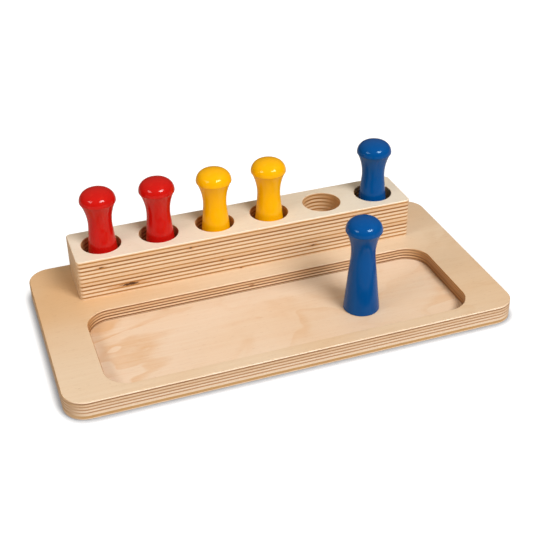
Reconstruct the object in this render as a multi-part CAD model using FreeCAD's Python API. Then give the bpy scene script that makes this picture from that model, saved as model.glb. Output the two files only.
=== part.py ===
import FreeCAD, Part
import math
import os

os.makedirs("parts", exist_ok=True)

# Toddler's peg board: a plywood base with a shallow tray at the front and a
# drilled block along the back, with six turned and lacquered pegs.
# Millimetres, +Z up, +X along the row of holes, +Y towards the back.
# The origin is on the table, under the centre of the base board.

# ---------------------------------------------------------------- base board
board_length = 390.0
board_width = 200.0
board_corner_radius = 19.0
frame_board_thickness = 11.8      # 12 mm plywood, sanded
bottom_panel_thickness = 5.2
board_edge_round = 0.9            # sanded edges of the boards

# ---------------------------------------------------------------------- tray
tray_length = 317.0
tray_width = 104.5
tray_front_y = -88.0
tray_corner_radius = 21.0
tray_edge_round = 0.7

# --------------------------------------------------------------------- block
block_length = 314.0
block_width = 52.0
block_centre_y = 62.5
block_board_thickness = 19.2      # two boards glued one on the other
block_end_round = 4.0
block_edge_round = 0.9

hole_count = 6
hole_pitch = 52.0
hole_radius = 17.5
hole_depth = 35.5
hole_edge_round = 0.6

# ---------------------------------------------------------------------- pegs
peg_base_radius = 16.0
peg_waist_radius = 10.5
peg_waist_height = 56.0
peg_waist_curve_radius = 48.0
peg_rim_radius = 15.85
peg_rim_height = 78.0
peg_height = 89.0
peg_shoulder_radius = 9.8
peg_rim_edge_height = 1.3
peg_rim_edge_inset = 0.28         # the edge curve's middle, as a share of its width
peg_rim_edge_drop = 0.62          # and as a share of its height
peg_foot_round = 0.9

# How far each standing peg has settled from the middle of its hole.
peg_settle = {
    "peg_red_left": (0, 1.35, 0.1),
    "peg_red_right": (1, 1.3, 0.2),
    "peg_yellow_left": (2, 1.0, -0.3),
    "peg_yellow_right": (3, 0.3, 0.1),
    "peg_blue_block": (5, 0.0, 0.3),
}
tray_peg_x = 74.4
tray_peg_y = -41.0

# ------------------------------------------- screws, up through the base board
screw_length = 30.0
screw_shank_radius = 1.75
screw_head_radius = 3.8
screw_head_depth = 3.0
screw_head_recess = 0.5           # the heads sit just below the surface
screw_drive_radius = 1.6
screw_drive_depth = 1.6
screw_point_length = 5.0
screw_head_rim = 0.5              # the straight side of the head, above its cone
screw_tip_radius = 0.2

cutter_overshoot = 1.0            # how far a cutter runs past the face it opens

board_thickness = bottom_panel_thickness + frame_board_thickness
board_top = board_thickness
tray_floor = bottom_panel_thickness
tray_centre_y = tray_front_y + tray_width / 2
block_top = board_top + 2 * block_board_thickness
hole_floor = block_top - hole_depth
first_hole_x = -hole_pitch * (hole_count - 1) / 2
hole_positions = [first_hole_x + i * hole_pitch for i in range(hole_count)]
# The screws stand between the holes, so that they never meet a peg.
screw_positions = [hole_positions[i] + hole_pitch / 2 for i in (0, 2, 4)]

UP = FreeCAD.Vector(0, 0, 1)


def rounded_slab(length, width, corner_radius, z_bottom, thickness, centre_y=0.0):
    """A board with round corners, centred on x = 0."""
    slab = Part.makeBox(
        length, width, thickness,
        FreeCAD.Vector(-length / 2, centre_y - width / 2, z_bottom))
    upright = [e for e in slab.Edges if abs(e.BoundBox.ZLength - thickness) < 1e-6]
    return slab.makeFillet(corner_radius, upright)


def cylinder(radius, height, x, y, z):
    return Part.makeCylinder(radius, height, FreeCAD.Vector(x, y, z), UP)


def edges_at_height(shape, z):
    """Every edge that lies flat at height z."""
    return [e for e in shape.Edges
            if abs(e.BoundBox.ZMin - z) < 1e-6 and abs(e.BoundBox.ZMax - z) < 1e-6]


def save(shape, node):
    if not shape.isValid():
        raise RuntimeError(node + " is not a valid solid")
    shape.exportStep("parts/" + node + ".step")
    print(node, "volume", round(shape.Volume / 1000, 2), "cm3, solids", len(shape.Solids))


def screw_outline(x):
    """A countersunk wood screw, point up, without its drive."""
    head_bottom = screw_head_recess
    shank_bottom = head_bottom + screw_head_depth
    point_bottom = head_bottom + screw_length - screw_point_length
    profile = [
        (0, head_bottom),
        (screw_head_radius, head_bottom),
        (screw_head_radius, head_bottom + screw_head_rim),
        (screw_shank_radius, shank_bottom),
        (screw_shank_radius, point_bottom),
        (screw_tip_radius, head_bottom + screw_length),
        (0, head_bottom + screw_length),
    ]
    return turned(profile, x, block_centre_y)


def turned(profile, x, y):
    """A solid of revolution about the upright axis at x, y from (radius, z) points."""
    points = [FreeCAD.Vector(r, 0, z) for r, z in profile]
    face = Part.Face(Part.makePolygon(points + points[:1]))
    solid = face.revolve(FreeCAD.Vector(0, 0, 0), UP, 360)
    solid.translate(FreeCAD.Vector(x, y, 0))
    return solid


def without_screws(board):
    """The board with the screws' own outline cut out of it."""
    return board.cut(Part.makeCompound([screw_outline(x) for x in screw_positions]))


# -------------------------------------------------------------------- boards
def bottom_panel():
    panel = rounded_slab(board_length, board_width, board_corner_radius,
                         0, bottom_panel_thickness)
    panel = panel.makeFillet(board_edge_round, edges_at_height(panel, 0))
    countersinks = [
        cylinder(screw_head_radius, screw_head_recess, x, block_centre_y, 0)
        for x in screw_positions]
    return without_screws(panel.cut(Part.makeCompound(countersinks)))


def tray_frame_board():
    frame = rounded_slab(board_length, board_width, board_corner_radius,
                         bottom_panel_thickness, frame_board_thickness)
    frame = frame.makeFillet(board_edge_round, edges_at_height(frame, board_top))
    window = rounded_slab(tray_length, tray_width, tray_corner_radius,
                          bottom_panel_thickness - cutter_overshoot,
                          frame_board_thickness + 2 * cutter_overshoot,
                          tray_centre_y)
    frame = frame.cut(window)
    window_lip = [e for e in edges_at_height(frame, board_top)
                  if e.BoundBox.XMax <= tray_length / 2 + 1e-6
                  and e.BoundBox.XMin >= -tray_length / 2 - 1e-6
                  and e.BoundBox.YMax <= tray_front_y + tray_width + 1e-6
                  and e.BoundBox.YMin >= tray_front_y - 1e-6]
    frame = frame.makeFillet(tray_edge_round, window_lip)
    return without_screws(frame)


def block_board(z_bottom, hole_bottom):
    """One of the block's two boards, with the part of the peg holes that is in it."""
    board = rounded_slab(block_length, block_width, block_end_round,
                         z_bottom, block_board_thickness, block_centre_y)
    z_top = z_bottom + block_board_thickness
    is_upper = abs(z_top - block_top) < 1e-6
    if is_upper:
        board = board.makeFillet(block_edge_round, edges_at_height(board, z_top))
    drill_length = z_top - hole_bottom + cutter_overshoot
    drills = [cylinder(hole_radius, drill_length, x, block_centre_y, hole_bottom)
              for x in hole_positions]
    board = board.cut(Part.makeCompound(drills))
    if is_upper:
        lips = [e for e in edges_at_height(board, z_top)
                if abs(e.BoundBox.XLength - 2 * hole_radius) < 1e-3]
        board = board.makeFillet(hole_edge_round, lips)
    return without_screws(board)


def screws():
    drives = Part.makeCompound([
        cylinder(screw_drive_radius, screw_drive_depth, x, block_centre_y, screw_head_recess)
        for x in screw_positions])
    return Part.makeCompound([
        screw_outline(x).cut(drives).Solids[0] for x in screw_positions])


# ---------------------------------------------------------------------- pegs
def peg_at(x, y, z):
    """One turned peg: a straight cone, a long hollow curve and a domed head."""
    waist_centre = (peg_waist_radius + peg_waist_curve_radius, peg_waist_height)

    # The cone starts at the foot and runs tangent to the hollow curve.
    across = waist_centre[0] - peg_base_radius
    up = waist_centre[1]
    reach = math.hypot(across, up)
    lean = math.atan2(up, across) + math.asin(peg_waist_curve_radius / reach)
    tangent_length = math.sqrt(reach ** 2 - peg_waist_curve_radius ** 2)
    cone_top = (peg_base_radius + tangent_length * math.cos(lean),
                tangent_length * math.sin(lean))

    # The hollow curve ends under the rim, where the rim's small edge curve starts.
    under_rim_z = peg_rim_height - peg_rim_edge_height
    under_rim_rise = under_rim_z - peg_waist_height
    under_rim_radius = waist_centre[0] - math.sqrt(
        peg_waist_curve_radius ** 2 - under_rim_rise ** 2)
    edge_middle = (
        peg_rim_radius - peg_rim_edge_inset * (peg_rim_radius - under_rim_radius),
        peg_rim_height - peg_rim_edge_drop * peg_rim_edge_height)
    hollow_middle = (peg_waist_radius, peg_waist_height)

    # Above the rim a shoulder arc runs into the larger arc of the crown.
    shoulder_centre_radius = peg_rim_radius - peg_shoulder_radius
    crown_rise = peg_height - peg_rim_height
    gap = crown_rise - peg_shoulder_radius
    crown_drop = (shoulder_centre_radius ** 2 - gap ** 2) / (2 * gap)
    crown_radius = crown_drop + crown_rise
    meeting_angle = math.atan2(crown_drop, shoulder_centre_radius)
    shoulder_top = (
        shoulder_centre_radius + peg_shoulder_radius * math.cos(meeting_angle),
        peg_rim_height + peg_shoulder_radius * math.sin(meeting_angle))
    shoulder_middle = (
        shoulder_centre_radius + peg_shoulder_radius * math.cos(meeting_angle / 2),
        peg_rim_height + peg_shoulder_radius * math.sin(meeting_angle / 2))
    crown_middle_angle = (meeting_angle + math.pi / 2) / 2
    crown_middle = (
        crown_radius * math.cos(crown_middle_angle),
        peg_rim_height - crown_drop + crown_radius * math.sin(crown_middle_angle))

    def at(point):
        return FreeCAD.Vector(point[0], 0, point[1])

    edges = [
        Part.LineSegment(at((0, 0)), at((peg_base_radius, 0))),
        Part.LineSegment(at((peg_base_radius, 0)), at(cone_top)),
        Part.Arc(at(cone_top), at(hollow_middle), at((under_rim_radius, under_rim_z))),
        Part.Arc(at((under_rim_radius, under_rim_z)), at(edge_middle),
                 at((peg_rim_radius, peg_rim_height))),
        Part.Arc(at((peg_rim_radius, peg_rim_height)), at(shoulder_middle), at(shoulder_top)),
        Part.Arc(at(shoulder_top), at(crown_middle), at((0, peg_height))),
        Part.LineSegment(at((0, peg_height)), at((0, 0))),
    ]
    wire = Part.Wire([edge.toShape() for edge in edges])
    peg = Part.Face(wire).revolve(FreeCAD.Vector(0, 0, 0), UP, 360)
    peg = peg.makeFillet(peg_foot_round, edges_at_height(peg, 0))
    peg.translate(FreeCAD.Vector(x, y, z))
    return peg


save(bottom_panel(), "bottom_panel")
save(tray_frame_board(), "tray_frame_board")
save(block_board(board_top, hole_floor), "block_lower_board")
save(block_board(board_top + block_board_thickness, board_top), "block_upper_board")
save(screws(), "block_screws")
for node, (hole, settle_x, settle_y) in peg_settle.items():
    save(peg_at(hole_positions[hole] + settle_x, block_centre_y + settle_y, hole_floor), node)
save(peg_at(tray_peg_x, tray_peg_y, tray_floor), "peg_blue_tray")
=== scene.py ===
import math

import bpy
from mathutils import Matrix, Vector


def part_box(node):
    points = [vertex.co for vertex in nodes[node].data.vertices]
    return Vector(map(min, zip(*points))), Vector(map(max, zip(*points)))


# A toddler's peg board: a birch plywood base with a shallow tray, a thicker
# drilled block along its back, and six turned pegs in glossy lacquer.
# Metres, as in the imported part: +Z up, +X along the row of holes, +Y to the back.

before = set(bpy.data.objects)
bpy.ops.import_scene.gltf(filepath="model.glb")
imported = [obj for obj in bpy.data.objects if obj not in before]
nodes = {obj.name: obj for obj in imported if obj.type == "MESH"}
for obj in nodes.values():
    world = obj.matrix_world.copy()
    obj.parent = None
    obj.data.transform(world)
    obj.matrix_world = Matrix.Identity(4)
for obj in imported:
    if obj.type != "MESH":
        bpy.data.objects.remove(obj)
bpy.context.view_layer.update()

MM = 0.001

# Corners of the boards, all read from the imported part.
panel_low, panel_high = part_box("bottom_panel")
board_low, board_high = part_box("tray_frame_board")
lower_low, lower_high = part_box("block_lower_board")
upper_low, upper_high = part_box("block_upper_board")
block_front, block_back = upper_low.y, upper_high.y

# Plywood: thickness of one ply, and the cross ply's share of each pair of plies.
BASE_PLY, BASE_CROSS_SHARE = 1.425 * MM, 0.44
BLOCK_PLY, BLOCK_CROSS_SHARE = 1.875 * MM, 0.39
PANEL_PLY, PANEL_CROSS_SHARE = 2.7 * MM, 0.43

# The tray's window in the frame board.
TRAY_MIDDLE_Y = -35.75 * MM
TRAY_HALF_WIDTH = 52.25 * MM
TRAY_HALF_LENGTH = 158.5 * MM

# The row of holes in the block.
HOLE_RADIUS = 17.5 * MM
HOLE_DEPTH = 35.5 * MM
OUTER_HOLE_X = 130 * MM

PEG_RIM_HEIGHT = 77.2 * MM
SCREW_HEAD_RADIUS = 3.8 * MM


def colour(red, green, blue):
    """A screen colour, 0 to 255, in the renderer's linear scale (the sRGB curve)."""
    def linear(level):
        share = level / 255
        return share / 12.92 if share <= 0.04045 else ((share + 0.055) / 1.055) ** 2.4
    return linear(red), linear(green), linear(blue), 1.0


# ------------------------------------------------------------------ wiring
class Wiring:
    """Adds nodes to one shader tree and links them as it goes."""

    def __init__(self, tree):
        self.tree = tree

    def node(self, kind, **settings):
        made = self.tree.nodes.new("ShaderNode" + kind)
        for name, value in settings.items():
            setattr(made, name, value)
        return made

    def feed(self, socket, value):
        if isinstance(value, bpy.types.NodeSocket):
            self.tree.links.new(value, socket)
        else:
            socket.default_value = value

    def math(self, operation, *values):
        made = self.node("Math", operation=operation)
        for socket, value in zip(made.inputs, values):
            self.feed(socket, value)
        return made.outputs[0]

    def vector(self, operation, first, second):
        made = self.node("VectorMath", operation=operation)
        self.feed(made.inputs[0], first)
        self.feed(made.inputs[1], second)
        return made.outputs[0]

    def length(self, value):
        made = self.node("VectorMath", operation="LENGTH")
        self.feed(made.inputs[0], value)
        return made.outputs["Value"]

    def parts(self, value):
        """The x, y and z of a vector."""
        made = self.node("SeparateXYZ")
        self.feed(made.inputs[0], value)
        return tuple(made.outputs)

    def invert(self, value):
        return self.math("SUBTRACT", 1.0, value)

    def weighted(self, *pairs, start=0.0):
        """Adds values up, each times its own weight."""
        total = start
        for value, weight in pairs:
            total = self.math("MULTIPLY_ADD", value, weight, total)
        return total

    def swing(self, value, reach):
        """Turns a noise value, 0 to 1, into plus or minus reach."""
        return self.math("MULTIPLY_ADD", value, 2 * reach, -reach)

    def ease(self, value, low, high, start=0.0, end=1.0):
        """Runs smoothly from start to end as value goes from low to high."""
        made = self.node("MapRange", interpolation_type="SMOOTHSTEP")
        for socket, part in zip(made.inputs, (value, low, high, start, end)):
            self.feed(socket, part)
        return made.outputs[0]

    def fade(self, value, low, high):
        """Runs smoothly from 1 to 0 as value goes from low to high."""
        return self.ease(value, low, high, start=1.0, end=0.0)

    def blend(self, share, first, second, how="MIX"):
        """Mixes two colours."""
        made = self.node("Mix", data_type="RGBA", blend_type=how)
        self.feed(made.inputs["Factor"], share)
        first_colour, second_colour = [s for s in made.inputs if s.type == "RGBA"]
        self.feed(first_colour, first)
        self.feed(second_colour, second)
        return next(s for s in made.outputs if s.type == "RGBA")

    def between(self, share, first, second):
        """Mixes two numbers."""
        made = self.node("Mix", data_type="FLOAT")
        for name, value in (("Factor", share), ("A", first), ("B", second)):
            self.feed(made.inputs[name], value)
        return made.outputs["Result"]

    def mix_shaders(self, share, first, second):
        made = self.node("MixShader")
        for socket, value in zip(made.inputs, (share, first, second)):
            self.feed(socket, value)
        return made.outputs[0]

    def noise(self, position, cells, detail=2.0, rough=0.5, warp=0.0):
        """Noise with so many cells per metre along x, y and z."""
        made = self.node("TexNoise")
        for name, value in (("Vector", self.vector("MULTIPLY", position, cells)),
                            ("Scale", 1.0), ("Detail", detail),
                            ("Roughness", rough), ("Distortion", warp)):
            self.feed(made.inputs[name], value)
        return made.outputs[0]


class Group(Wiring):
    """A shader node group with named inputs and outputs."""

    def __init__(self, name, inputs, outputs):
        super().__init__(bpy.data.node_groups.new(name, "ShaderNodeTree"))
        for label, kind in inputs:
            self.tree.interface.new_socket(
                label, in_out="INPUT", socket_type="NodeSocket" + kind)
        for label in outputs:
            self.tree.interface.new_socket(
                label, in_out="OUTPUT", socket_type="NodeSocketFloat")
        self.given = self.tree.nodes.new("NodeGroupInput").outputs
        self.result = self.tree.nodes.new("NodeGroupOutput").inputs

    def put(self, label, value):
        self.feed(self.result[label], value)


def place(wiring, group, **values):
    """Places a group in a material. Underscores in a name stand for spaces."""
    made = wiring.node("Group")
    made.node_tree = group.tree
    for name, value in values.items():
        wiring.feed(made.inputs[name.replace("_", " ")], value)
    return made.outputs


# ------------------------------------------------------------ shared effects
def make_veneer_layers():
    """Where the cross plies, the glue lines and each ply's own tone lie in a board."""
    slow_wander, quick_wander = 0.17 * MM, 0.08 * MM
    cross_softness, glue_width = 0.045, 0.035      # shares of a pair of plies
    g = Group("Veneer layers",
              [("Position", "Vector"), ("Middle", "Float"), ("Ply", "Float"),
               ("Cross at middle", "Float"), ("Cross share", "Float")],
              ["Cross ply", "Glue line", "Ply tone"])
    given = g.given
    slow = g.noise(given["Position"], (14, 14, 5), detail=1.0)
    quick = g.noise(given["Position"], (90, 90, 60), detail=2.0)
    wander = g.math("ADD", g.swing(slow, slow_wander), g.swing(quick, quick_wander))
    height = g.math("ADD", g.parts(given["Position"])[2], wander)
    plies = g.math("DIVIDE", g.math("SUBTRACT", height, given["Middle"]), given["Ply"])
    shift = g.invert(given["Cross at middle"])
    pairs = g.math("MULTIPLY", g.math("ADD", plies, shift), 0.5)
    away = g.math("ABSOLUTE", g.math("SUBTRACT", pairs, g.math("ROUND", pairs)))
    inside = g.math("SUBTRACT", g.math("MULTIPLY", given["Cross share"], 0.5), away)
    g.put("Cross ply", g.ease(inside, -cross_softness, cross_softness))
    g.put("Glue line", g.fade(g.math("ABSOLUTE", inside), 0.0, glue_width))
    number = g.node("TexWhiteNoise", noise_dimensions="1D")
    g.feed(number.inputs["W"], g.math("ROUND", plies))
    g.put("Ply tone", number.outputs["Value"])
    return g


def make_birch_figure():
    """Rotary-cut birch veneer: growth rings, blotches, fine streaks and flecks."""
    ring_count = 7.0                               # rings in the noise's whole range
    left_inner, left_outer = -60 * MM, -125 * MM   # the left end's stronger figure
    ring_weight, blotch_weight = 0.6, 0.6
    wide_weight, fine_weight = 0.6, 0.4
    g = Group("Birch figure",
              [("Position", "Vector"), ("Figure size", "Float"), ("Left end", "Float")],
              ["Figure", "Streaks", "Flecks", "Cloud"])
    scaled = g.node("VectorMath", operation="SCALE")
    g.feed(scaled.inputs[0], g.given["Position"])
    g.feed(scaled.inputs["Scale"], g.given["Figure size"])
    spot = scaled.outputs[0]

    # A growth ring is sharp on one side and fades out on the other.
    rings = g.noise(spot, (6.5, 10.0, 3.0), detail=3.0, rough=0.5, warp=0.6)
    step = g.math("FRACT", g.math("MULTIPLY", rings, ring_count))
    contours = g.math("MULTIPLY", g.ease(step, 0.0, 0.07), g.fade(step, 0.05, 0.45))
    blotches = g.ease(g.noise(spot, (16.0, 30.0, 9.0), detail=4.0, rough=0.6), 0.4, 0.8)
    patches = g.noise(spot, (8.0, 11.0, 4.0), detail=1.0)
    left = g.ease(g.parts(g.given["Position"])[0], left_outer, left_inner,
                  start=g.given["Left end"], end=0.0)
    strength = g.math("ADD", g.ease(patches, 0.42, 0.72, start=0.06, end=0.6), left)
    figure = g.weighted((blotches, blotch_weight), (contours, ring_weight))
    g.put("Figure", g.math("MULTIPLY", strength, figure))

    wide = g.noise(spot, (9.0, 260.0, 260.0), detail=3.0, rough=0.6)
    fine = g.noise(spot, (30.0, 1300.0, 1300.0), detail=2.0, rough=0.6)
    g.put("Streaks", g.weighted((wide, wide_weight), (fine, fine_weight)))
    dashes = g.noise(spot, (190.0, 1500.0, 1500.0), detail=1.0)
    g.put("Flecks", g.ease(dashes, 0.66, 0.74))
    g.put("Cloud", g.noise(spot, (6.0, 9.0, 9.0), detail=2.0, rough=0.55))
    return g


def make_worn_highlit_edge():
    """Where the sanded round between a face and an edge is paler in patches: partly wear,
    partly a painted highlight along the lip.
    """
    g = Group("Sanded edge", [("Position", "Vector"), ("Facing", "Vector")], ["Worn and highlit"])
    upright = g.math("ABSOLUTE", g.parts(g.given["Facing"])[2])
    band = g.math("MULTIPLY", g.ease(upright, 0.04, 0.35), g.fade(upright, 0.86, 0.995))
    patches = g.ease(g.noise(g.given["Position"], (60, 60, 60), detail=3.0), 0.46, 0.62)
    g.put("Worn and highlit", g.math("MULTIPLY", band, patches))
    return g


def make_knot():
    """One small pin knot cut by an edge: a dark ragged lens with a stain around it."""
    depth = 3 * MM
    raggedness = 0.45
    g = Group("Pin knot",
              [("Position", "Vector"), ("Centre", "Vector"),
               ("Length", "Float"), ("Height", "Float")],
              ["Core", "Stain"])
    ragged = g.noise(g.given["Position"], (420, 420, 900), detail=3.0)
    along, through, up = g.parts(
        g.vector("SUBTRACT", g.given["Position"], g.given["Centre"]))
    lens = g.node("CombineXYZ")
    for socket, offset, reach in zip(lens.inputs, (along, through, up),
                                     (g.given["Length"], depth, g.given["Height"])):
        g.feed(socket, g.math("DIVIDE", offset, reach))
    away = g.math("ADD", g.length(lens.outputs[0]), g.swing(ragged, raggedness))
    g.put("Core", g.fade(away, 0.35, 0.62))
    g.put("Stain", g.fade(away, 0.4, 1.7))
    return g


def make_lacquer_skin():
    """Sprayed lacquer on a turned peg: thin along the grain, darker towards the foot, its
    turning marks, its handling.
    """
    darker_foot_height = 16 * MM
    grain_relief, turning_relief, peel_relief = 0.34, 0.07, 0.2
    smear_share, scratch_share = 0.6, 0.4
    g = Group("Lacquer skin", [("Place", "Vector")], ["Thin", "Darker foot", "Haze", "Relief"])
    spot = g.given["Place"]
    grain = g.noise(spot, (240, 240, 9), detail=3.0, rough=0.55)
    turning = g.noise(spot, (4, 4, 1100), detail=1.0)
    peel = g.noise(spot, (420, 420, 420), detail=1.0)
    handling = g.noise(spot, (48, 48, 36), detail=4.0, rough=0.65)
    scratch = g.noise(spot, (1400, 90, 260), detail=2.0, warp=0.4)
    g.put("Relief", g.weighted((peel, peel_relief), (turning, turning_relief),
                               (grain, grain_relief)))
    g.put("Thin", g.ease(grain, 0.52, 0.75))
    towards_foot = g.fade(g.parts(spot)[2], 0.0, darker_foot_height)
    g.put("Darker foot", g.math("MULTIPLY", towards_foot,
                          g.ease(handling, 0.2, 0.75, start=0.6, end=1.0)))
    g.put("Haze", g.weighted((g.ease(handling, 0.5, 0.72), smear_share),
                             (g.ease(scratch, 0.67, 0.72), scratch_share)))
    return g


veneer_layers = make_veneer_layers()
birch_figure = make_birch_figure()
worn_highlit_edge = make_worn_highlit_edge()
pin_knot = make_knot()
lacquer_skin = make_lacquer_skin()


# ---------------------------------------------------------------- materials
def new_material(name):
    """A material with one shader, and with the place and facing of its surface."""
    made = bpy.data.materials.new(name)
    made.use_nodes = True
    made.node_tree.nodes.clear()
    wiring = Wiring(made.node_tree)
    shader = wiring.node("BsdfPrincipled")
    wiring.feed(wiring.node("OutputMaterial").inputs["Surface"], shader.outputs[0])
    coordinates = wiring.node("TexCoord").outputs
    return made, wiring, shader.inputs, coordinates["Object"], coordinates["Normal"]


def bump(wiring, height, depth, strength):
    made = wiring.node("Bump")
    wiring.feed(made.inputs["Strength"], strength)
    wiring.feed(made.inputs["Distance"], depth)
    wiring.feed(made.inputs["Height"], height)
    return made.outputs[0]


def face_veneer(w, figure, position, tones):
    """The face veneer: streaks and figure, golden in clouds and to the back left."""
    x, y, _ = w.parts(position)
    gold_start, gold_stop = -190 * MM, 30 * MM     # along the board
    gold_front, gold_back = -70 * MM, 40 * MM      # across it
    streak_weight, fleck_share = 0.55, 0.22
    body = w.weighted((figure["Figure"], tones["figure"]),
                      (figure["Streaks"], streak_weight))
    face = w.blend(w.ease(body, 0.1, 0.8), tones["face pale"], tones["face tint"])
    back_left = w.math("MULTIPLY",
                       w.ease(x, gold_start, gold_stop, start=tones["gold end"], end=0.0),
                       w.ease(y, gold_front, gold_back))
    clouds = w.ease(figure["Cloud"], 0.4, 0.68, start=0.0, end=tones["gold cloud"])
    face = w.blend(w.math("ADD", clouds, back_left), face, tones["face gold"])
    return w.blend(w.math("MULTIPLY", figure["Flecks"], fleck_share), face, tones["fleck"])


def ply_edge(w, layers, position, end_on, tones):
    """The cut plies: each shows its long grain or its darker end grain."""
    cross = layers["Cross ply"]
    tone_weight, smear_weight, speckle_weight = 0.55, 0.5, 0.35
    speckle = w.noise(position, (900, 900, 420), detail=2.0)
    smear = w.noise(position, (26, 26, 300), detail=3.0, rough=0.6)
    long_shift = w.weighted((smear, smear_weight), (layers["Ply tone"], tone_weight))
    end_shift = w.math("MULTIPLY_ADD", speckle, speckle_weight, long_shift)
    long_grain = w.blend(w.ease(long_shift, 0.1, 0.95),
                         tones["long pale"], tones["long deep"])
    end_grain = w.blend(w.ease(end_shift, 0.2, 1.15), tones["end pale"], tones["end deep"])
    on_front = w.blend(cross, long_grain, end_grain)
    # On the ends of a board it is the cross plies that show their long grain.
    butt_share = w.math("MULTIPLY_ADD", cross, -0.7, tones["butt share"])
    on_end = w.blend(butt_share, long_grain, tones["butt"])
    glue = w.math("MULTIPLY", layers["Glue line"], tones["glue"])
    return w.blend(glue, w.blend(end_on, on_front, on_end), tones["end deep"])


def varnish_and_wall_shade(w, surface, position, walls, end_on, cross, opening, tones):
    """The walls of the tray and the holes get a golden tint, partly their varnished finish
    and partly painted shade, and grow darker towards their foot.
    """
    middle_y, half_width, half_length, floor_height = opening
    near, far = 2 * MM, 4 * MM                     # how far past the walls it fades
    x, y, z = w.parts(position)
    off_middle = w.math("ABSOLUTE", w.math("SUBTRACT", y, middle_y))
    within = w.math("MULTIPLY",
                    w.fade(off_middle, half_width + near, half_width + far),
                    w.fade(w.math("ABSOLUTE", x), half_length + near, half_length + far))
    within = w.math("MULTIPLY", within, walls)
    # Painted shade with a golden tint on the walls of the tray and the holes, strongest
    # where they face along the board; partly their varnished finish.
    golden = w.math("MULTIPLY", within, w.math("MULTIPLY_ADD", end_on, 0.5, 0.5))
    surface = w.blend(golden, surface, tones["varnish_and_shade"], "MULTIPLY")
    # Darker towards the foot of the walls: most in the last millimetre above the floor, and
    # on the lower cross plies.
    rise = w.math("SUBTRACT", z, floor_height)
    darker_low_plies = w.math("MULTIPLY", w.ease(rise, 5 * MM, 9 * MM, start=0.8, end=0.25), cross)
    darkest_at_floor = w.ease(rise, 0.2 * MM, 1 * MM, start=0.75, end=0.0)
    dark_foot = w.math("MAXIMUM", darkest_at_floor, darker_low_plies)
    return w.blend(w.math("MULTIPLY", dark_foot, within), surface, tones["dark_foot"])


def plywood(name, middle, ply, cross_at_middle, cross_share, tones, knots=(),
            figure_size=1.0, opening=None):
    """Clear-varnished birch plywood. Grain of the face veneer runs along the board."""
    made, w, shader, position, facing = new_material(name)
    layers = place(w, veneer_layers, Position=position, Middle=middle, Ply=ply,
                   Cross_at_middle=cross_at_middle, Cross_share=cross_share)
    figure = place(w, birch_figure, Position=position, Figure_size=figure_size,
                   Left_end=tones["left figure"])
    sanded = place(w, worn_highlit_edge, Position=position, Facing=facing)
    cross = layers["Cross ply"]

    # How far the surface faces along the board, and how far it faces up or down.
    lengthwise, crosswise, upwards = w.parts(facing)
    along = w.math("MULTIPLY", lengthwise, lengthwise)
    sideways = w.math("MAXIMUM", w.math("MULTIPLY_ADD", crosswise, crosswise, along), 0.0001)
    end_on = w.math("DIVIDE", along, sideways)
    upright = w.math("ABSOLUTE", upwards)
    # Across the grain the sanded round still shows end grain, almost up to the face.
    flat = w.between(end_on, w.ease(upright, 0.3, 0.9), w.ease(upright, 0.8, 0.998))
    walls = w.invert(flat)

    surface = w.blend(flat, ply_edge(w, layers, position, end_on, tones),
                      face_veneer(w, figure, position, tones))
    # The sanded round is paler in patches: partly wear, partly a painted highlight along the
    # lip.
    pale_edge = w.math("MULTIPLY", sanded["Worn and highlit"], w.math("MULTIPLY_ADD", end_on, -0.4, 0.45))
    surface = w.blend(pale_edge, surface, tones["pale_edge"])

    # Cross plies are sanded a little hollow and duller.
    hollow = w.math("MULTIPLY", cross, walls)
    relief = w.weighted((hollow, -0.9), (figure["Streaks"], 0.5), (figure["Flecks"], -0.3))
    dull = w.weighted((figure["Streaks"], 0.16), (hollow, 0.14), start=0.36)
    for centre, half_length, half_height in knots:
        knot = place(w, pin_knot, Position=position, Centre=centre,
                     Length=half_length, Height=half_height)
        surface = w.blend(w.math("MULTIPLY", knot["Stain"], 0.6), surface, tones["stain"])
        surface = w.blend(knot["Core"], surface, tones["knot"])
        relief = w.math("MULTIPLY_ADD", knot["Core"], -0.8, relief)
    if opening is not None:
        surface = varnish_and_wall_shade(w, surface, position, walls, end_on, cross, opening, tones)

    w.feed(shader["Base Color"], surface)
    w.feed(shader["Roughness"], dull)
    w.feed(shader["Normal"], bump(w, relief, depth=0.06 * MM, strength=0.6))
    shader["Coat Weight"].default_value = 0.22
    shader["Coat Roughness"].default_value = 0.28
    shader["IOR"].default_value = 1.45
    return made


def lacquer(name, foot, tint, deep, pale, gleam):
    """Glossy coloured lacquer on a turned peg that stands on the point foot."""
    made, w, shader, position, _ = new_material(name)
    on_peg = w.vector("SUBTRACT", position, tuple(foot))
    skin = place(w, lacquer_skin, Place=on_peg)
    # Darker towards the foot of the peg.
    shade = w.blend(w.math("MULTIPLY", skin["Darker foot"], 0.35), tint, deep)
    shade = w.blend(w.math("MULTIPLY", skin["Thin"], 0.12), shade, pale)
    # Handling rubs the rim thin, and more so where the lacquer is hazy.
    off_rim = w.math("ABSOLUTE", w.math("SUBTRACT", w.parts(on_peg)[2], PEG_RIM_HEIGHT))
    pale_edge = w.math("MULTIPLY", w.fade(off_rim, 0.2 * MM, 1.1 * MM),
                    w.ease(skin["Haze"], 0.25, 0.6, start=0.15, end=0.5))
    shade = w.blend(w.math("MULTIPLY", pale_edge, 0.5), shade, pale)
    w.feed(shader["Base Color"], shade)
    w.feed(shader["Roughness"], w.math("MULTIPLY_ADD", skin["Haze"], 0.07, 0.12))
    w.feed(shader["Normal"], bump(w, skin["Relief"], depth=0.01 * MM, strength=0.2))
    shader["Coat Weight"].default_value = 0.1
    shader["Coat Roughness"].default_value = 0.05
    shader["Specular Tint"].default_value = gleam
    shader["IOR"].default_value = 1.29
    return made


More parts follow.
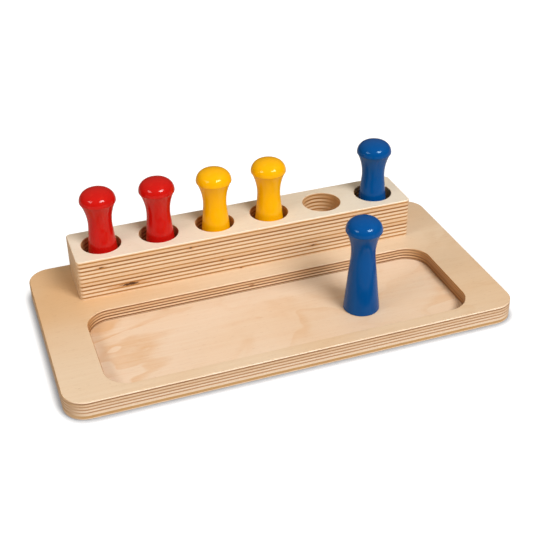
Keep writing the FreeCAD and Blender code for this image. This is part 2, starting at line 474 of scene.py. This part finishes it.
def zinc_steel(name, outer_x, row_y):
    """Zinc plate on three screws in a row: fine turning rings and a few dull marks."""
    ring_waves = 26000.0                           # radians per metre: four rings to 1 mm
    made, w, shader, position, _ = new_material(name)
    x, y, _ = w.parts(position)
    off_middle = w.math("ABSOLUTE", x)
    off_outer = w.math("ABSOLUTE", w.math("SUBTRACT", off_middle, outer_x))
    along = w.math("MINIMUM", off_outer, off_middle)
    across = w.math("POWER", w.math("SUBTRACT", y, row_y), 2.0)
    from_axis = w.math("SQRT", w.math("ADD", w.math("MULTIPLY", along, along), across))
    turning = w.math("SINE", w.math("MULTIPLY", from_axis, ring_waves))
    rings = w.math("MULTIPLY_ADD", turning, 0.5, 0.5)
    dull = w.noise(position, (700, 700, 700), detail=4.0)
    plating = w.blend(w.ease(dull, 0.4, 0.65), colour(196, 199, 204), colour(150, 152, 156))
    w.feed(shader["Base Color"], plating)
    w.feed(shader["Roughness"], w.math("MULTIPLY_ADD", dull, 0.3, 0.2))
    w.feed(shader["Normal"], bump(w, rings, depth=0.01 * MM, strength=0.5))
    shader["Metallic"].default_value = 1.0
    return made


# Tones of the wood. Plain numbers are shares: how strongly a tone or figure shows.
base_tones = {
    "face pale": colour(231, 207, 177), "face tint": colour(216, 182, 143),
    "face gold": colour(219, 172, 118), "fleck": colour(176, 126, 84),
    "gold end": 0.5, "gold cloud": 0.3, "figure": 0.4, "left figure": 0.0,
    "long pale": colour(238, 216, 190), "long deep": colour(222, 190, 154),
    "end pale": colour(196, 148, 106), "end deep": colour(146, 98, 60),
    "butt": colour(176, 120, 38), "butt share": 0.9,
    # Pale tone of the sanded round: partly wear, partly a painted highlight along the lip.
    "glue": 0.25, "pale_edge": colour(250, 232, 208),
    "stain": colour(196, 132, 66), "knot": colour(80, 48, 24),
    # Walls of the tray: a golden tint that is partly painted shade, and a darker tone
    # towards their foot.
    "varnish_and_shade": colour(246, 225, 190), "dark_foot": colour(104, 56, 14),
}
panel_tones = {
    **base_tones,
    "face pale": colour(237, 215, 190), "face tint": colour(222, 180, 136),
    "face gold": colour(231, 198, 163),
    "gold end": 0.0, "gold cloud": 0.55, "figure": 0.95, "left figure": 0.36,
    "end pale": colour(208, 166, 112), "end deep": colour(186, 140, 86),
}
block_tones = {
    **base_tones,
    "face pale": colour(244, 231, 210), "face tint": colour(233, 215, 188),
    "face gold": colour(233, 212, 182), "gold end": 0.0,
    "long pale": colour(239, 215, 184), "long deep": colour(226, 188, 145),
    "end pale": colour(192, 135, 70), "end deep": colour(146, 90, 34),
    "butt": colour(196, 150, 100), "butt share": 0.75,
    # Walls of the holes: a golden tint that is partly painted shade, and a darker tone
    # towards their foot.
    "varnish_and_shade": colour(252, 236, 202), "dark_foot": colour(164, 112, 56),
}

# Pin knots on the block's front and back edges, and one on the tray's back
# wall: centre, half length, half height.
block_knots = [
    ((-113 * MM, block_front, 24.8 * MM), 15 * MM, 2.5 * MM),
    ((-136 * MM, block_front, 46.7 * MM), 4.4 * MM, 1.2 * MM),
    ((-56 * MM, block_front, 49.4 * MM), 4.0 * MM, 1.4 * MM),
    ((-28 * MM, block_front, 30.4 * MM), 4.0 * MM, 1.4 * MM),
    ((-10.5 * MM, block_front, 18.4 * MM), 3.0 * MM, 0.9 * MM),
    ((60 * MM, block_front, 27.1 * MM), 5.2 * MM, 1.5 * MM),
    ((92 * MM, block_back, 43.0 * MM), 5.5 * MM, 1.4 * MM),
    ((-31 * MM, block_back, 24.0 * MM), 3.4 * MM, 1.1 * MM),
]
lower_knots = [knot for knot in block_knots if knot[0][2] < lower_high.z]
upper_knots = [knot for knot in block_knots if knot[0][2] > lower_high.z]
tray_back_y = TRAY_MIDDLE_Y + TRAY_HALF_WIDTH
tray_knots = [((-7 * MM, tray_back_y, 11.0 * MM), 3.0 * MM, 0.6 * MM)]

# The tray and the row of holes: middle across the board, half width, half
# length, height of the floor.
tray_opening = (TRAY_MIDDLE_Y, TRAY_HALF_WIDTH, TRAY_HALF_LENGTH, board_low.z)
hole_row = ((block_front + block_back) / 2, HOLE_RADIUS, OUTER_HOLE_X + HOLE_RADIUS,
            upper_high.z - HOLE_DEPTH)

# The middle ply is a cross ply in the panel and the block, and not in the frame board.
finishes = {
    "bottom_panel": plywood(
        "birch panel", middle=(panel_low.z + panel_high.z) / 2, ply=PANEL_PLY,
        cross_at_middle=1.0, cross_share=PANEL_CROSS_SHARE, tones=panel_tones),
    "tray_frame_board": plywood(
        "birch frame board", middle=(board_low.z + board_high.z) / 2, ply=BASE_PLY,
        cross_at_middle=0.0, cross_share=BASE_CROSS_SHARE, tones=base_tones,
        knots=tray_knots, opening=tray_opening),
    "block_lower_board": plywood(
        "birch lower block board", middle=(lower_low.z + lower_high.z) / 2, ply=BLOCK_PLY,
        cross_at_middle=1.0, cross_share=BLOCK_CROSS_SHARE, tones=block_tones,
        knots=lower_knots, figure_size=0.9, opening=hole_row),
    "block_upper_board": plywood(
        "birch upper block board", middle=(upper_low.z + upper_high.z) / 2, ply=BLOCK_PLY,
        cross_at_middle=1.0, cross_share=BLOCK_CROSS_SHARE, tones=block_tones,
        knots=upper_knots, figure_size=1.1, opening=hole_row),
}

# Lacquers: tint, deep towards the foot, pale where it is worn thin, gleam.
red = (colour(199, 19, 13), colour(158, 8, 8), colour(226, 62, 38), (1, 1, 1, 1))
yellow = (colour(250, 181, 4), colour(226, 146, 0), colour(255, 210, 70), (1, 0.95, 0.6, 1))
blue = (colour(0, 77, 146), colour(0, 53, 110), colour(24, 98, 168), (0.5, 0.85, 1, 1))
lacquers = {
    "peg_red_left": red,
    "peg_red_right": red,
    "peg_yellow_left": yellow,
    "peg_yellow_right": yellow,
    "peg_blue_block": blue,
    "peg_blue_tray": blue,
}
for node, tones in lacquers.items():
    low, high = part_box(node)
    foot = Vector(((low.x + high.x) / 2, (low.y + high.y) / 2, low.z))
    finishes[node] = lacquer("lacquer of " + node.replace("_", " "), foot, *tones)

screw_low, screw_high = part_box("block_screws")
finishes["block_screws"] = zinc_steel(
    "zinc screws", outer_x=(screw_high.x - screw_low.x) / 2 - SCREW_HEAD_RADIUS,
    row_y=(screw_low.y + screw_high.y) / 2)

for node, finish in finishes.items():
    mesh = nodes[node].data
    mesh.materials.clear()
    mesh.materials.append(finish)


# ------------------------------------------------------------- studio stage
def floor_finish():
    """A bright, evenly lit sweep to the eye, with a painted contact shadow near the board;
    the board gets only its soft bounce.
    """
    painted_shadow_reach = 11 * MM
    hidden_gap, reflected_gap = 1 * MM, 3 * MM
    made = bpy.data.materials.new("pale floor")
    made.use_nodes = True
    made.node_tree.nodes.clear()
    w = Wiring(made.node_tree)
    seen = w.node("BsdfPrincipled")
    seen.inputs["Base Color"].default_value = (0.4, 0.41, 0.42, 1)
    seen.inputs["Roughness"].default_value = 0.8
    seen.inputs["Specular IOR Level"].default_value = 0.1
    seen.inputs["Emission Strength"].default_value = 0.85
    # Painted contact shadow: the floor's glow turns blue-grey where ambient occlusion finds
    # the board close by.
    near = w.node("AmbientOcclusion", samples=16)
    near.inputs["Distance"].default_value = painted_shadow_reach
    outside_painted_shadow = w.ease(near.outputs["AO"], 0.46, 0.95)
    w.feed(seen.inputs["Emission Color"],
           w.blend(outside_painted_shadow, (0.04, 0.06, 0.09, 1), (1, 1, 1, 1)))
    bounce = w.node("BsdfDiffuse")
    bounce.inputs["Color"].default_value = (0.6, 0.56, 0.5, 1)
    ray = w.node("LightPath").outputs
    table = w.mix_shaders(ray["Is Camera Ray"], bounce.outputs[0], seen.outputs[0])

    # From beneath, the floor lets both the eye and the light through. Light also
    # reaches the board's own underside, and a little further as a reflection.
    from_beneath = w.node("NewGeometry").outputs["Backfacing"]
    gap = w.math("MULTIPLY_ADD", ray["Is Glossy Ray"], reflected_gap, hidden_gap)
    grazing_board = w.math("MULTIPLY", w.math("LESS_THAN", ray["Ray Length"], gap),
                           w.invert(ray["Is Camera Ray"]))
    through = w.mix_shaders(w.math("MAXIMUM", from_beneath, grazing_board),
                            table, w.node("BsdfTransparent").outputs[0])
    w.feed(w.node("OutputMaterial").inputs["Surface"], through)
    return made


def make_floor():
    """A large pale table top, a hair below the board's underside."""
    half_size = 6.0
    drop = 0.3 * MM
    mesh = bpy.data.meshes.new("pale_floor")
    corners = [(x * half_size, y * half_size, -drop)
               for x, y in ((-1, -1), (1, -1), (1, 1), (-1, 1))]
    mesh.from_pydata(corners, [], [(0, 1, 2, 3)])
    floor = bpy.data.objects.new("pale_floor", mesh)
    bpy.context.scene.collection.objects.link(floor)
    mesh.materials.append(floor_finish())


def soft_light(name, azimuth, elevation, distance, width, height, power, tint):
    """An oval softbox that looks at the middle of the board."""
    lamp = bpy.data.lights.new(name, "AREA")
    lamp.shape = "ELLIPSE"
    lamp.size = width
    lamp.size_y = height
    lamp.energy = power
    lamp.color = tint
    box = bpy.data.objects.new(name, lamp)
    bpy.context.scene.collection.objects.link(box)
    turn, rise = math.radians(azimuth), math.radians(elevation)
    out = Vector((math.cos(turn) * math.cos(rise), math.sin(turn) * math.cos(rise),
                  math.sin(rise)))
    target = Vector((0, 30 * MM, 40 * MM))
    box.location = target + out * distance
    box.rotation_euler = out.to_track_quat("Z", "Y").to_euler()
    box.visible_camera = False


make_floor()
soft_light("key softbox", azimuth=-67, elevation=44.5, distance=2.4,
           width=1.2, height=0.72, power=48.5, tint=(1.0, 1.0, 1.02))
soft_light("left softbox", azimuth=-160, elevation=36, distance=1.0,
           width=0.44, height=0.27, power=2.3, tint=(1.0, 1.0, 1.0))

# A warm white ceiling above dim walls, and light from beneath for the underside.
# The eye sees a plain white backdrop in their place.
ceiling = (0.378, 0.328, 0.262, 1)
walls_tone = (0.1, 0.08, 0.058, 1)
from_beneath = (0.7, 0.68, 0.65, 1)
world = bpy.data.worlds.new("studio")
bpy.context.scene.world = world
world.use_nodes = True
studio = Wiring(world.node_tree)
lighting = world.node_tree.nodes["Background"]
upwards = studio.parts(studio.node("TexCoord").outputs["Generated"])[2]
room = studio.blend(studio.ease(upwards, 0.0, 0.9), walls_tone, ceiling)
studio.feed(lighting.inputs["Color"],
            studio.blend(studio.fade(upwards, -0.2, -0.02), room, from_beneath))
backdrop = studio.node("Background")
backdrop.inputs["Color"].default_value = (1, 1, 1, 1)
studio.feed(world.node_tree.nodes["World Output"].inputs["Surface"],
            studio.mix_shaders(studio.node("LightPath").outputs["Is Camera Ray"],
                               lighting.outputs[0], backdrop.outputs[0]))

bpy.context.scene.view_settings.view_transform = "Standard"
bpy.context.scene.view_settings.look = "None"

# ------------------------------------------------------------------- camera
look_at = Vector((12.437 * MM, 32.022 * MM, 17.0 * MM))
camera_distance = 923.33 * MM
azimuth = math.radians(-18.806)
elevation = math.radians(32.616)
roll = math.radians(-1.100)

back = Vector((math.sin(azimuth) * math.cos(elevation),
               -math.cos(azimuth) * math.cos(elevation), math.sin(elevation)))
level_right = (-back).cross(Vector((0, 0, 1))).normalized()
level_up = level_right.cross(-back)
right = math.cos(roll) * level_right + math.sin(roll) * level_up
up = -math.sin(roll) * level_right + math.cos(roll) * level_up
turned = Matrix((right, up, back)).transposed().to_4x4()

lens = bpy.data.cameras.new("studio camera")
lens.sensor_width = 36.0
lens.lens = 68.457
lens.clip_start = 0.05
lens.clip_end = 50
camera = bpy.data.objects.new("studio camera", lens)
bpy.context.scene.collection.objects.link(camera)
camera.matrix_world = Matrix.Translation(look_at + back * camera_distance) @ turned
bpy.context.scene.camera = camera
